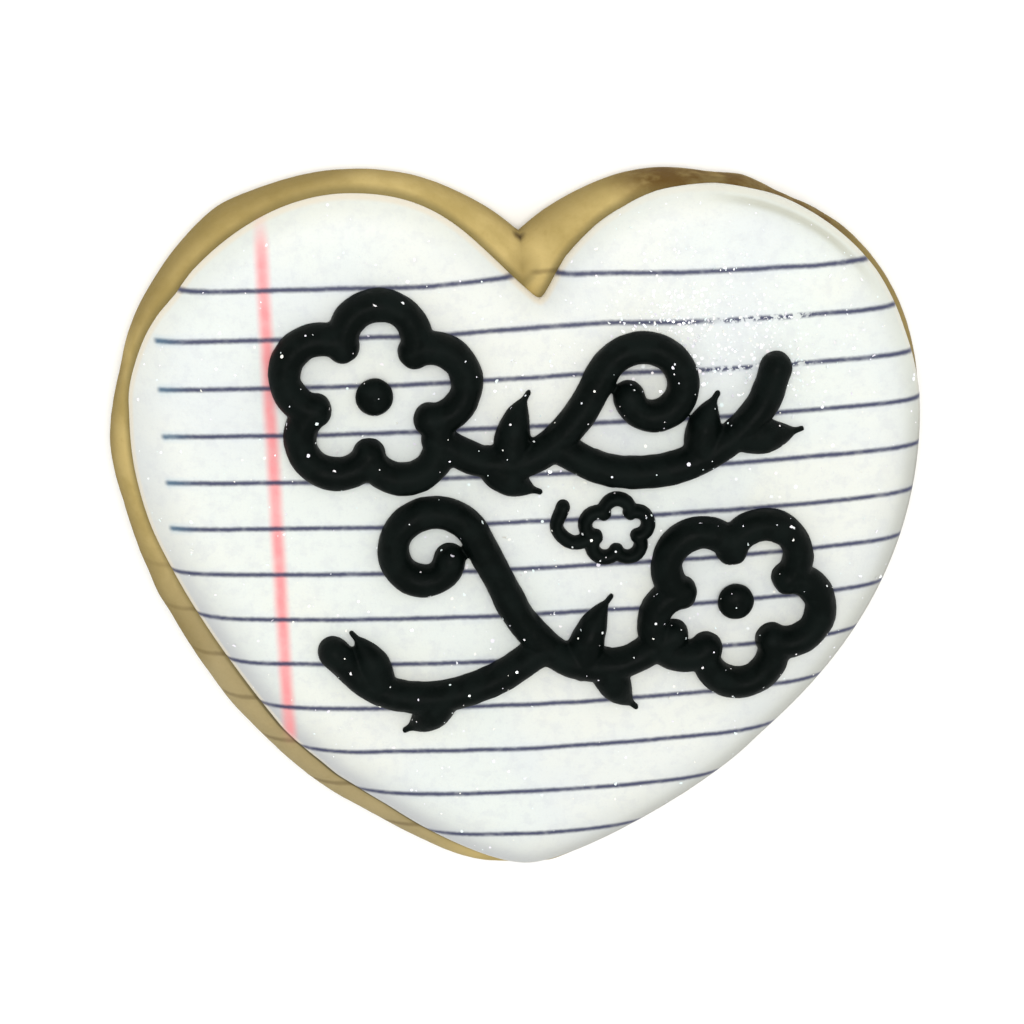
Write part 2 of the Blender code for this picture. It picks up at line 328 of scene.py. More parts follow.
def heartOutline(heart, count):
    leave = heading(heart["leave"][0]) * heart["leave"][1]
    arrive = heading(heart["arrive"][0]) * heart["arrive"][1]
    stops = [(*heart["cleft"], leave, leave)]
    stops += [(x, y, heading(turn) * before, heading(turn) * after)
              for x, y, turn, before, after in heart["anchors"]]
    stops.append((*heart["cleft"], arrive, arrive))
    pieces = [span(a[:2], a[3], b[:2], b[2], curveSteps) for a, b in zip(stops[:-1], stops[1:])]
    pieces.append(np.array([heart["cleft"]]))
    outline = evenSteps(np.vstack(pieces), count)[:-1]
    spacing = np.linalg.norm(outline[1] - outline[0])
    near = np.arange(-9, 10)  # the points beside the cleft, which is eased a little
    for _ in range(round(2 * (heart["cleftRadius"] / spacing) ** 2)):
        outline[near] = (outline[near - 1] + 2 * outline[near] + outline[near + 1]) / 4
    return outline


def outwardOf(outline):
    # directions out of the outline, with the stretch that keeps its corners mitred
    before = outline - np.roll(outline, 1, axis=0)
    after = np.roll(outline, -1, axis=0) - outline
    before /= np.linalg.norm(before, axis=1)[:, None]
    after /= np.linalg.norm(after, axis=1)[:, None]
    tangent = before + after
    tangent /= np.linalg.norm(tangent, axis=1)[:, None]
    mitre = 1.0 / (tangent * after).sum(axis=1)
    return np.stack([-tangent[:, 1], tangent[:, 0]], axis=1), mitre


def insetOutline(outline, distance):
    outward, mitre = outwardOf(outline)
    return outline - outward * (distance * mitre)[:, None]


def unevenOutline(heart, count):
    outline = heartOutline(heart, count)
    outward, _ = outwardOf(outline)
    for x, y, reach, width in heart["uneven"]:
        away = np.linalg.norm(outline - np.array([x, y]), axis=1)
        outline = outline + outward * (reach * np.clip(1 - away / width, 0, 1))[:, None]
    return outline


def depthInside(points, outline):
    # how far each point lies from the outline, worked in slices to spare memory
    along = np.roll(outline, -1, axis=0) - outline
    square = (along**2).sum(axis=1)
    found = []
    for piece in np.array_split(points, max(1, len(points) // 3000)):
        offset = piece[:, None, :] - outline[None, :, :]
        t = np.clip((offset * along).sum(axis=2) / square, 0.0, 1.0)
        found.append(np.linalg.norm(offset - t[..., None] * along, axis=2).min(axis=1))
    return np.concatenate(found)


def quarterRound(depth):
    return np.sqrt(1.0 - (1.0 - np.clip(depth, 0.0, 1.0)) ** 2)


def lowDome(depth):
    reach = np.clip(depth / domeReach, 0.0, 1.0)
    return reach * (2.0 - reach)


def shrunk(plan, scale):
    return heartMiddle + (plan - heartMiddle) * scale


def closeTo(away, reach, full=1.35):
    # 1 close by, fading to 0 where the distance is full times the reach
    return np.clip(full - away / reach, 0.0, 1.0)


def wander(points, size, shift):
    # smooth noise from -1 to 1 that changes over about size
    scaled = points / size + shift
    return np.array([noise.noise(Vector(point)) for point in scaled])


def pits(points, size, radius, shift):
    # 1 in the middle of scattered round pits, 0 between them
    scaled = points / size + shift
    nearest = np.array([noise.voronoi(Vector(point))[0][0] for point in scaled]) * size
    return np.clip(1.0 - nearest / radius, 0.0, 1.0)


cookieEdge = unevenOutline(cookieHeart, outlineSteps)
icingEdge = unevenOutline(icingHeart, outlineSteps)


# meshes

def raised(plan, height):
    # points lifted to one height, or each to its own
    return np.column_stack([plan, np.broadcast_to(height, len(plan))])


def ringFaces(rings, count):
    index = np.arange(count)
    following = (index + 1) % count
    faces = []
    for k in range(rings - 1):
        low, high = k * count, (k + 1) * count
        quads = np.stack([low + index, low + following, high + following, high + index], axis=1)
        faces += quads.tolist()
    return faces


def ringSolid(rings, firstPole, lastPole):
    # points and faces of stacked rings, closed by a fan at both ends
    count = len(rings[0])
    points = np.vstack([*rings, [firstPole], [lastPole]])
    faces = ringFaces(len(rings), count)
    for start, pole in ((0, len(points) - 2), ((len(rings) - 1) * count, len(points) - 1)):
        faces += [(start + i, start + (i + 1) % count, pole) for i in range(count)]
    return points, faces


def makeMesh(name, points, faces):
    mesh = bpy.data.meshes.new(name)
    mesh.from_pydata((points * mm).tolist(), [], faces)
    shape = bmesh.new()
    shape.from_mesh(mesh)
    bmesh.ops.recalc_face_normals(shape, faces=shape.faces)
    shape.to_mesh(mesh)
    shape.free()
    mesh.shade_smooth()
    return mesh


def pointsOf(mesh):
    flat = np.empty(len(mesh.vertices) * 3, np.float32)
    mesh.vertices.foreach_get("co", flat)
    return flat.reshape(-1, 3).astype(float) / mm


def normalsOf(mesh):
    flat = np.empty(len(mesh.vertices) * 3, np.float32)
    mesh.vertex_normals.foreach_get("vector", flat)
    return flat.reshape(-1, 3).astype(float)


def setPoints(mesh, points):
    # every point stays inside the solids' own box
    low, high = np.array(cadBox) / mm
    kept = np.clip(points, low, high) * mm
    mesh.vertices.foreach_set("co", kept.astype(np.float32).ravel())
    mesh.update()


def paint(mesh, name, values):
    values = np.asarray(values, np.float32)
    if values.ndim == 2:
        layer = mesh.color_attributes.new(name, "FLOAT_COLOR", "POINT")
        layer.data.foreach_set("color", np.column_stack([values, np.ones(len(values))]).ravel())
    else:
        mesh.attributes.new(name, "FLOAT", "POINT").data.foreach_set("value", values)


def addPiece(name, mesh, material, slot, *nodes):
    mesh.materials.append(material)
    piece = placed(name, mesh)
    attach(piece, "root")
    if nodes:
        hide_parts(*nodes)
    return piece


# ruled print: it was laid on from above, so it runs over the icing and on to the dough

ruledPrint = {
    "pitch": 5.5,
    "turn": 1.65,  # degrees anticlockwise
    "firstLine": 31.4,  # y of the top line at x = 0, before the turn
    "lineCount": 13,
    # how far the lines stray upwards at the middle, with x and with x squared, x in 40 mm
    "strayTop": (-0.18, 0.02, 0.21),
    "strayDown": (-0.71, -0.45, 1.53),  # the same, added by degrees down to the last line
    "topWaves": [(-12.0, -0.27, 10.0), (9.0, 0.27, 9.0)],  # x, rise, reach
    "unsteady": [(0.5, 0.14), (7.0, 0.30)],  # fine and slow wandering of a line: size, height
    "halfWidth": 0.27,
    "softness": 0.22,
    "worn": (26.5, 23.8, 7.5, 5.5),  # where dust has broken the ink: x, y, reach in x and y
    "sheetLeft": -39.8,  # x where the upper lines start, at y = 0
    "sheetLean": 0.04,
    "startSoftness": 0.7,
    "sheetLeftLines": (1, 6),  # the lines that start there, counted from 0, end left out
    "fadedLength": 4.5,  # of the bluer start of those lines
    "fadedShare": 0.24,
    "inkShare": 0.95,
    "haloShare": 0.5,
    "haloReach": 1.05,
    "marginTop": (-28.6, 39.4),
    "marginFoot": (-26.85, -23.9),
    "marginHalfWidth": 0.64,
    "marginSoftness": 0.54,
    "ink": (0.026, 0.030, 0.085),
    "inkHalo": (0.80, 0.82, 0.97),
    "fadedInk": (0.19, 0.42, 0.52),
    "marginColour": (0.79, 0.275, 0.285),
}


def bowed(x, numbers):
    # a curve over x from its value at 0, its slope and its bow
    middle, lean, bow = numbers
    bent = calc("ADD", lean, times(x, bow))
    return calc("ADD", middle, times(x, bent))


def linesDown(place, x, y):
    # how far down the sheet a place lies, counted in lines, and the wave that the margin shares
    sheet = ruledPrint
    turn = math.radians(sheet["turn"])
    down = calc("SUBTRACT", times(y, math.cos(turn)), times(x, math.sin(turn)))
    run = calc("DIVIDE", calc("SUBTRACT", sheet["firstLine"], down),
               sheet["pitch"] * (sheet["lineCount"] - 1))
    forty = calc("DIVIDE", x, 40.0)
    stray = calc("ADD", bowed(forty, sheet["strayTop"]),
                 times(run, bowed(forty, sheet["strayDown"])))
    upper = step(run, 0.3, 0.05)
    for centre, rise, reach in sheet["topWaves"]:
        near = step(apart(x, centre), reach, 0.0, 0.0, rise)
        stray = calc("ADD", stray, times(near, upper))
    fine, wave = [times(calc("SUBTRACT", grain(place, size, 2.0), 0.5), height)
                  for size, height in sheet["unsteady"]]
    down = calc("ADD", calc("SUBTRACT", down, stray), calc("ADD", fine, wave))
    return calc("DIVIDE", calc("SUBTRACT", sheet["firstLine"], down), sheet["pitch"]), wave


def inRange(value, first, last):
    # 1 where a whole number is from first up to last, last left out
    return times(calc("GREATER_THAN", value, first - 0.5),
                 calc("LESS_THAN", value, last - 0.5))


def inkStrength(place, x, y):
    # patchy, with gaps where dust has broken it
    wornX, wornY, reachX, reachY = ruledPrint["worn"]
    worn = times(step(apart(x, wornX), reachX, reachX / 2),
                 step(apart(y, wornY), reachY, reachY / 2))
    gaps = step(grain(place, 0.75, 2.0, 0.7), 0.46, 0.56, 0.0, 0.95)
    patchy = step(grain(place, 1.6, 3.0), 0.22, 0.5, 0.8, 1.0)
    return times(patchy, calc("SUBTRACT", 1.0, times(worn, gaps)))


def marginShare(place, x, y, wave):
    (topX, topY), (footX, footY) = ruledPrint["marginTop"], ruledPrint["marginFoot"]
    half, soft = ruledPrint["marginHalfWidth"], ruledPrint["marginSoftness"]
    lean = (footX - topX) / (footY - topY)
    middle = calc("ADD", times(calc("SUBTRACT", y, topY), lean), topX)
    middle = calc("ADD", middle, times(wave, 0.6))
    return times(step(apart(x, middle), half + soft, half - soft),
                 step(y, topY, topY - 6.0),
                 step(y, footY - 1.5, footY + 1.5),
                 step(grain(place, 2.2, 3.0), 0.25, 0.7, 0.78, 1.0))


def printMasks(place):
    # shares of ink, of the halo round it, of its blue where a line starts and of margin colour
    sheet = ruledPrint
    x, y, _ = axes(place)
    count, wave = linesDown(place, x, y)
    nearest = calc("ROUND", count)
    away = times(apart(count, nearest), sheet["pitch"])
    left = sheet["sheetLeft"]
    upright = calc("ADD", x, times(y, sheet["sheetLean"]))
    short = inRange(nearest, *sheet["sheetLeftLines"])
    started = calc("MAXIMUM", calc("SUBTRACT", 1.0, short),
                   step(upright, left, left + sheet["startSoftness"]))
    real = times(inRange(nearest, 0, sheet["lineCount"]), started)
    core = step(away, sheet["halfWidth"] + sheet["softness"], sheet["halfWidth"] - sheet["softness"])
    ink = times(core, inkStrength(place, x, y), real)
    halo = times(step(away, sheet["haloReach"], 0.2), real,
                 step(grain(place, 4.0, 2.0), 0.35, 0.65, 0.1, 0.6))
    faded = times(step(upright, left + sheet["fadedLength"], left), short,
                  step(away, 0.95, 0.1), started)
    return ink, halo, faded, marginShare(place, x, y, wave)


# baked cookie

bakedDough = {
    "points": 880,  # round the outline
    "widest": 2.8,  # height where the wall stands out most
    "edgeTop": 7.6,
    "shoulder": 3.0,  # how far in the top rounds over
    "foot": 1.3,  # how far in the wall rounds under
    "dome": 0.5,
    "footRings": 7,
    "shoulderRings": 20,
    "topScales": np.concatenate([np.linspace(0.992, 0.80, 25), [0.74, 0.66, 0.55, 0.4, 0.2]]),
    "underScales": [0.15, 0.35, 0.55, 0.72, 0.84, 0.92, 0.965, 0.985],
    "relief": [(9.0, 0.15, 3.1), (2.4, 0.07, 8.4), (0.85, 0.035, 15.2)],  # size, depth, shift
    "pores": (2.4, 0.36, 0.14),  # spacing, radius, depth
    # runs of darker colour: places along them, then reach, strength and the share lost by the end. crease,
    # cleftWall and rightWall are painted shade, backWall is browned crust, the rest are only darker
    "crease": ([(-0.1, 34.9, 2.6), (-0.1, 33.6, 5.6), (0.1, 31.6, 7.7), (0.5, 30.4, 7.8)], 0.7, 1.0, 0.5),
    "backWall": ([(15.5, 42.0, 4.6), (19.5, 41.8, 4.8), (26.0, 40.8, 5.2), (33.5, 36.4, 4.6)],
                 4.8, 1.0, 0.1),
    "topWall": ([(-43.0, 27.0, 4.0), (-38.0, 34.0, 4.4), (-31.0, 39.2, 4.4), (-22.0, 41.6, 3.4)],
                3.8, 0.72, 0),
    "cleftWall": ([(3.4, 36.6, 4.6), (6.5, 38.9, 4.2), (10.5, 41.2, 3.2), (15.0, 42.0, 3.2)], 3.3, 0.45, 0),
    "leftWall": ([(-45.6, 19.5, 3.6), (-46.2, 13.0, 3.6), (-44.9, 3.0, 4.0), (-41.8, -6.5, 5.0),
                  (-38.0, -12.5, 5.0)], 3.1, 0.66, 0),
    "rightBack": ([(38.0, 34.1, 4.0), (43.0, 27.8, 4.0), (46.0, 18.0, 4.0)], 4.0, 0.75, 0),
    "rightWall": ([(46.3, 17.0, 3.4), (45.2, 0.0, 3.4), (36.0, -18.8, 3.4), (16.8, -36.0, 3.4),
                   (3.0, -42.2, 3.4)], 4.6, 0.5, 0),
    "shade": 0.8,  # beside the icing
    "shadeWidth": 0.62,
    "sockets": {"Specular IOR Level": 0.18},
    "light": (0.505, 0.380, 0.148),
    "mid": (0.385, 0.285, 0.098),
    "brown": (0.205, 0.145, 0.040),
    "darkBrown": (0.105, 0.056, 0.010),
    "olive": (0.205, 0.162, 0.062),  # in the shade beside the icing
    "lowLeftShade": (0.300, 0.245, 0.140),  # painted shade on the dough along the lower left
    # painted shade on the right wall
    "rightShade": (0.175, 0.150, 0.095),
    "jointShade": (0.075, 0.064, 0.034),  # painted shade where the icing lies on the dough, lower left
    "deepBrown": (0.060, 0.034, 0.010),
    # dark spots: x, y, z, radius, strength; the one in the cleft is painted crevice shadow
    "spots": [
        (-0.1, 34.5, 4.6, 0.75, 1.0),
        (-46.4, 14.2, 2.8, 0.8, 0.75),
        (-41.4, -6.3, 2.9, 0.75, 0.9),
    ],
}


def bakedTop(plan):
    depth = depthInside(plan, cookieEdge)
    rise = (bakedDough["edgeTop"] - bakedDough["widest"]) * quarterRound(depth / bakedDough["shoulder"])
    return bakedDough["widest"] + rise + bakedDough["dome"] * lowDome(depth)


def cookieRings():
    dough = bakedDough
    outline = unevenOutline(cookieHeart, dough["points"])
    rings = []
    for turn in np.radians(np.linspace(90, 90 / dough["footRings"], dough["footRings"])):
        plan = insetOutline(outline, dough["foot"] * (1 - math.cos(turn)))
        rings.append(raised(plan, dough["widest"] * (1 - math.sin(turn))))
    under = [raised(shrunk(rings[0][:, :2], scale), 0.0) for scale in dough["underScales"]]
    wall = dough["edgeTop"] - dough["widest"]
    for turn in np.radians(np.linspace(0, 90, dough["shoulderRings"])):
        plan = insetOutline(outline, dough["shoulder"] * (1 - math.cos(turn)))
        rings.append(raised(plan, dough["widest"] + wall * math.sin(turn)))
    rim = rings[-1][:, :2]
    for scale in dough["topScales"]:
        plan = shrunk(rim, scale)
        rings.append(raised(plan, bakedTop(plan)))
    return under + rings


def doughRelief(points):
    # how far the crumb falls back from the smooth form
    fall = np.zeros(len(points))
    for size, depth, shift in bakedDough["relief"]:
        fall += depth * (0.5 + 0.5 * wander(points, size, shift))
    spacing, radius, depth = bakedDough["pores"]
    return fall + depth * pits(points, spacing, radius, 5.5) ** 2


def spotDarkness(points):
    darkness = np.zeros(len(points))
    for x, y, z, radius, strength in bakedDough["spots"]:
        away = np.linalg.norm(points - np.array([x, y, z]), axis=1)
        darkness = np.maximum(darkness, strength * closeTo(away, radius, 1.5))
    return darkness


def runShare(points, run):
    # 1 along a run of places and less beside it
    stops, reach, strength, lost = run
    stops = [np.array(stop) for stop in stops]
    shade = np.zeros(len(points))
    for k, (start, end) in enumerate(zip(stops, stops[1:])):
        t = np.clip(((points - start) * (end - start)).sum(axis=1) / ((end - start) ** 2).sum(), 0, 1)
        away = np.linalg.norm(points - start - t[:, None] * (end - start), axis=1)
        left = strength * (1.0 - lost * (k + t) / (len(stops) - 1))
        shade = np.maximum(shade, left * closeTo(away, reach))
    return shade


def doughFinish():
    dough = bakedDough
    material, tree, shader = newFinish("bakedDough", dough["sockets"])
    place = placeInMm(tree)
    x, y, z = axes(place)
    cloud = grain(place, 6.0, 4.0, 0.6)
    fleck = grain(place, 0.8, 4.0, 0.7)
    patchy = step(grain(place, 2.2, 3.0), 0.3, 0.62, 0.55, 1.0)
    left = step(x, -2.0, -14.0)
    lowLeft = times(left, step(y, 8.0, -14.0))
    # the dough turns brown lower down the wall: partly browning, partly painted shade
    low = step(calc("ADD", z, times(cloud, 2.0)), 7.6, 3.0)
    beside = painted(tree, "besideIcing")
    # painted shade: a dark line where the icing lies on the dough, lower left
    jointShade = times(step(beside, 0.26, 0.50), step(y, -8.0, -24.0), left)
    base = layered(dough["light"], dough, [
        (step(cloud, 0.35, 0.68), "mid"),
        # painted shade on the lower left
        (times(lowLeft, 0.7), "lowLeftShade"),
        (times(low, 0.62), "brown"),
        (beside, "olive"),
        (times(jointShade, 0.75), "jointShade"),
        (step(fleck, 0.56, 0.80, 0.0, 0.20), "brown"),
    ])
    # the print shows faintly on the dough, at the lower left and in the cleft
    ink, _, _, margin = printMasks(place)
    inCleft = times(step(y, 26.0, 27.0), step(x, 0.8, 1.8), step(x, 9.0, 6.0))
    onTop = step(z, 4.4, 6.2)
    inked = times(ink, calc("MAXIMUM", lowLeft, inCleft), onTop, 0.42)
    base = blend(inked, base, dough["deepBrown"])
    base = blend(times(margin, onTop, 0.22), base, ruledPrint["marginColour"])
    base = layered(base, dough, [
        # darker runs: painted shade in the crease and on the cleft wall, only darker along the other walls
        (painted(tree, "darkRuns"), "brown"),
        (times(painted(tree, "darkWall"), patchy), "darkBrown"),
        # painted shade on the right wall
        (painted(tree, "rightWallShade"), "rightShade"),
        # dark spots; the one in the cleft is painted crevice shadow
        (painted(tree, "darkSpots"), "deepBrown"),
    ])
    wire(base, shader.inputs["Base Color"])
    wire(step(fleck, 0.3, 0.7, 0.78, 0.95), shader.inputs["Roughness"])
    crumb = calc("ADD", grain(place, 0.34, 4.0, 0.65), times(fleck, 0.8))
    bump(shader, crumb, 0.045)
    return material


def addCookie():
    dough = bakedDough
    crown = dough["edgeTop"] + dough["dome"]
    points, faces = ringSolid(cookieRings(), (*heartMiddle, 0.0), (*heartMiddle, crown))
    mesh = makeMesh("bakedCookie", points, faces)
    points, normals = pointsOf(mesh), normalsOf(mesh)
    flat = np.clip(1.0 + normals[:, 2] * 1.3, 0.0, 1.0)  # the underside stays flat to rest on
    setPoints(mesh, points - normals * (doughRelief(points) * flat)[:, None])
    # runs darker along the dough; in the crease and on the cleft wall this is painted shade
    runs = [runShare(points, dough[run])
            for run in ("crease", "topWall", "cleftWall", "leftWall", "rightBack")]
    away = depthInside(points[:, :2], icingEdge)
    shade = dough["shade"] * closeTo(away, dough["shadeWidth"]) * (points[:, 2] > 4.0)
    paint(mesh, "darkSpots", spotDarkness(points))
    paint(mesh, "darkRuns", np.max(runs, axis=0))
    paint(mesh, "darkWall", runShare(points, dough["backWall"]))
    paint(mesh, "rightWallShade", runShare(points, dough["rightWall"]))
    paint(mesh, "besideIcing", shade)
    return addPiece("bakedCookie", mesh, doughFinish(), "baked_dough", "cookie")


cookie = addCookie()
print("cookie baked:", len(cookie.data.polygons), "faces")


# flooded icing

floodIcing = {
    "points": 880,
    "widest": 8.4,  # height where the rim stands out most
    "rimWidth": 5.0,  # the rim rounds over within this
    "rimRise": 2.2,
    "dome": 1.2,
    "undercut": 0.35,
    "sunk": 0.45,  # the foot reaches this far into the dough
    "skirt": 0.1,  # and stands upright up to this far below its top
    "rimScales": 1.0 - 0.11 * np.linspace(0.02, 1.0, 24) ** 1.7,
    "topScales": np.linspace(0.875, 0.035, 38),
    "underScales": [0.4, 0.7, 0.86, 0.94, 0.98],
    "ripples": [(8.0, 0.10, 2.2), (2.8, 0.035, 6.1)],  # size, height, shift
    "calmRim": 2.5,  # the ripples fade out within this of the edge
    "fold": (31.0, 9.5, 0.36, 1.20, 0.45),  # of the rim, top right: x, reach, depth, how far in, width
    "sockets": {"Specular IOR Level": 0.3, "Subsurface Weight": 0.12,
                "Subsurface Radius": (1.0, 0.9, 0.8), "Subsurface Scale": 0.0006},
    "white": (0.685, 0.718, 0.684),
    "warmWhite": (0.735, 0.738, 0.665),
    "shadeWhite": (0.645, 0.668, 0.676),
    "speckle": (0.500, 0.510, 0.560),
    "rimCream": (0.660, 0.600, 0.490),
    # the colours below are painted shade: on the rim's lower left, right, lower right, its very edge, its
    # lower half, and in the fold's hollow
    "lowLeftRimShade": (0.400, 0.410, 0.455),
    "rightRimShade": (0.560, 0.575, 0.465),
    "rightShade": (0.375, 0.375, 0.342),
    "edgeShade": (0.200, 0.190, 0.148),
    "lowerRimShade": (0.470, 0.475, 0.455),
    "foldShade": (0.420, 0.415, 0.335),
}


def icingTop(plan):
    flood = floodIcing
    depth = depthInside(plan, icingEdge)
    smooth = flood["widest"] + flood["rimRise"] * quarterRound(depth / flood["rimWidth"])
    smooth += flood["dome"] * lowDome(depth)
    spread = raised(plan, 0.0)
    for size, height, shift in flood["ripples"]:
        smooth += height * wander(spread, size, shift) * np.clip(depth / flood["calmRim"], 0.0, 1.0)
    x, reach, deep, inwards, width = flood["fold"]
    near = np.clip(1 - ((plan[:, 0] - x) / reach) ** 2, 0, 1) * (plan[:, 1] > 30)
    return smooth - deep * near * np.exp(-(((depth - inwards) / width) ** 2))


def icingRings():
    flood = floodIcing
    outline = unevenOutline(icingHeart, flood["points"])
    foot = insetOutline(outline, flood["undercut"])
    rings = []
    for scale in flood["underScales"]:
        plan = shrunk(foot, scale)
        rings.append(raised(plan, bakedTop(plan) - flood["sunk"]))
    footTop = bakedTop(foot)
    rings += [raised(foot, footTop - flood["sunk"]), raised(foot, footTop - flood["skirt"])]
    for share in (0.35, 0.7):
        plan = insetOutline(outline, flood["undercut"] * (1 - share) ** 2)
        rings.append(raised(plan, footTop + (flood["widest"] - footTop) * share))
    for scale in [1.0, *flood["rimScales"], *flood["topScales"]]:
        plan = shrunk(outline, scale)
        rings.append(raised(plan, icingTop(plan)))
    return rings


def icingFinish():
    flood, sheet = floodIcing, ruledPrint
    material, tree, shader = newFinish("floodedIcing", flood["sockets"])
    place = placeInMm(tree)
    x, y, _ = axes(place)
    depth = painted(tree, "rimDepth")
    sugar = grain(place, 0.30, 3.0, 0.7)
    mottle = grain(place, 1.6, 4.0, 0.65)
    cloudy = step(grain(place, 22.0, 2.0), 0.38, 0.64, 0.0, 0.7)
    warm = step(grain(place, 16.0, 2.0), 0.42, 0.66)
    lowLeft = times(step(y, 4.0, -10.0), step(x, 12.0, -6.0))
    lowRight = times(step(x, -4.0, 10.0), step(y, 24.0, 8.0))
    right = calc("MAXIMUM", step(x, 10.0, 26.0), step(y, 20.0, 38.0, 0.0, 0.5))
    downwards = step(y, 30.0, -8.0, 0.35, 1.0)
    leftRim = times(step(x, 16.0, 0.0, 0.35, 0.9), calc("SUBTRACT", 1.0, lowRight),
                    step(y, -30.0, -22.0, 0.15, 1.0))
    folded = times(step(x, 19.0, 27.0), step(x, 41.0, 34.0), step(y, 27.0, 31.0))
    hollow = times(step(depth, 0.55, 1.0), step(depth, 1.9, 1.2))
    base = layered(flood["white"], flood, [
        (cloudy, "shadeWhite"),
        (times(warm, 0.6), "warmWhite"),
        (step(sugar, 0.52, 0.74, 0.0, 0.20), "speckle"),
        (step(mottle, 0.46, 0.66, 0.0, 0.22), "speckle"),
        # painted shade round the rim: lower left, right, lower half, lower right and its very edge
        (times(step(depth, 3.0, 0.3, 0.0, 0.85), lowLeft), "lowLeftRimShade"),
        (times(step(depth, 3.4, 0.2, 0.0, 0.50), right), "rightRimShade"),
        (times(step(depth, 6.5, 0.2, 0.0, 0.55), downwards), "lowerRimShade"),
        (times(step(depth, 2.6, 0.0, 0.0, 0.80), lowRight), "rightShade"),
        (times(step(depth, 0.6, 0.0, 0.0, 0.75), lowRight), "edgeShade"),
        (times(step(depth, 0.7, 0.25), leftRim), "rimCream"),
        # painted shade in the hollow of the fold
        (times(hollow, folded, 0.7), "foldShade"),
    ])
    ink, halo, faded, margin = printMasks(place)
    base = blend(times(halo, sheet["haloShare"]), base, sheet["inkHalo"], "MULTIPLY")
    base = layered(base, sheet, [
        (margin, "marginColour"),
        (times(ink, sheet["inkShare"]), "ink"),
        (times(faded, sheet["fadedShare"]), "fadedInk"),
    ])
    wire(base, shader.inputs["Base Color"])
    wire(step(sugar, 0.3, 0.7, 0.36, 0.52), shader.inputs["Roughness"])
    relief = calc("ADD", times(sugar, 0.5), grain(place, 1.4, 3.0))
    bump(shader, relief, 0.03)
    return material


def addIcing():
    flood = floodIcing
    crown = icingTop(np.array([heartMiddle]))[0]
    bottom = bakedTop(np.array([heartMiddle]))[0] - flood["sunk"]
    points, faces = ringSolid(icingRings(), (*heartMiddle, bottom), (*heartMiddle, crown))
    mesh = makeMesh("floodedIcing", points, faces)
    points = pointsOf(mesh)
    setPoints(mesh, points)
    paint(mesh, "rimDepth", depthInside(points[:, :2], icingEdge))
    return addPiece("floodedIcing", mesh, icingFinish(), "white_icing", "icing")


icing = addIcing()
print("icing flooded:", len(icing.data.polygons), "faces")


# black piping

pipedBead = {
    "width": 3.7,
    "thinWidth": 1.7,
    "height": 2.9,
    "leafWidth": 4.2,
    "standOff": 0.2,  # bead tops stand this much over their height above the icing
    "sunk": 0.3,
    "sides": 20,
    "spacing": 0.45,
    "petals": 5,
    "voxel": 0.2,  # of the skin round overlapping beads
    "thinVoxel": 0.12,
    "uneven": 0.05,  # share by which a bead swells and shrinks
    "curlsIn": 24,  # degrees that its sides go on below its widest
    "ends": (82, 68, 52, 36, 18),  # degrees of the rings that round off an end
    "slimRise": 0.85,  # height of a slim bead, as a share of its width
    "drag": [(1.3, 0.035, 4.4), (0.55, 0.02, 9.1)],  # size, height, shift
    "settle": 0.03,
    "sockets": {"Specular IOR Level": 0.05},
    "black": (0.0014, 0.0030, 0.0024),
    "blackSheen": (0.0032, 0.0056, 0.0048),
}

upperSpray = {
    "flower": {"centre": (-16.5, 18.6), "reach": 6.3, "radius": 4.1, "turn": 84},
    "stem": [(-9.6, 13.4), (-4.5, 10.9), (1.0, 11.2), (5.8, 15.4), (9.2, 21.4)],
    "curl": {"radius": 5.4, "turns": 0.86, "hand": -1, "inner": 0.42},
    "tail": [(3.4, 12.6), (9.5, 9.6), (16.5, 9.6), (22.5, 12.4), (26.6, 16.6), (28.2, 21.0)],
    "leaves": [((-3.8, 10.9), -50, 7.0, 34), ((-1.2, 10.9), 95, 8.0, -40),
               ((20.0, 11.0), 92, 7.5, -34), ((24.0, 13.6), -12, 7.5, 28)],
}

lowerSpray = {
    "flower": {"centre": (24.4, -6.6), "reach": 6.1, "radius": 4.0, "turn": 60},
    "stem": [(17.2, -10.4), (11.5, -13.6), (5.3, -13.2), (0.2, -8.6), (-3.0, -2.6), (-5.6, 2.6)],
    "curl": {"radius": 5.6, "turns": 0.88, "hand": 1, "inner": 0.42},
    "tail": [(2.2, -11.6), (-3.5, -15.4), (-10.5, -17.4), (-17.0, -16.0), (-21.6, -11.6)],
    "leaves": [((9.5, -13.6), -74, 7.0, 34), ((6.8, -13.9), 84, 9.0, -34),
               ((-9.0, -17.2), -120, 6.5, -34), ((-16.5, -16.2), 98, 7.5, 34)],
}

smallFlower = {
    "flower": {"centre": (10.6, 2.4), "reach": 2.2, "radius": 1.5, "turn": 90, "sweep": 98},
    "tail": [(8.2, 1.6), (5.6, 1.0), (3.8, 2.8), (4.5, 5.2)],
}

flowerEye = {
    "radius": 2.1,
    "height": 2.5,
    "sunk": 0.15,
    "points": 56,
    "rings": 18,
    "arc": (-32, 90),  # degrees round its side, from its foot to its crown
    "standOff": 0.1,
    "nib": (0.28, 0.22),  # height and reach of the peak left by the tip
    "nibLean": (0.12, 0.20),
    "tip": (0.03, 0.06, 0.22),  # its place from the middle of the crown
}


def smoothPath(stops):
    stops = [np.array(stop, float) for stop in stops]
    points = [2 * stops[0] - stops[1], *stops, 2 * stops[-1] - stops[-2]]
    pieces = []
    for before, here, there, after in zip(points, points[1:], points[2:], points[3:]):
        pieces.append(span(here, (there - before) / 6, there, (after - here) / 6, 24))
    pieces.append(points[-2][None, :])
    return np.vstack(pieces)


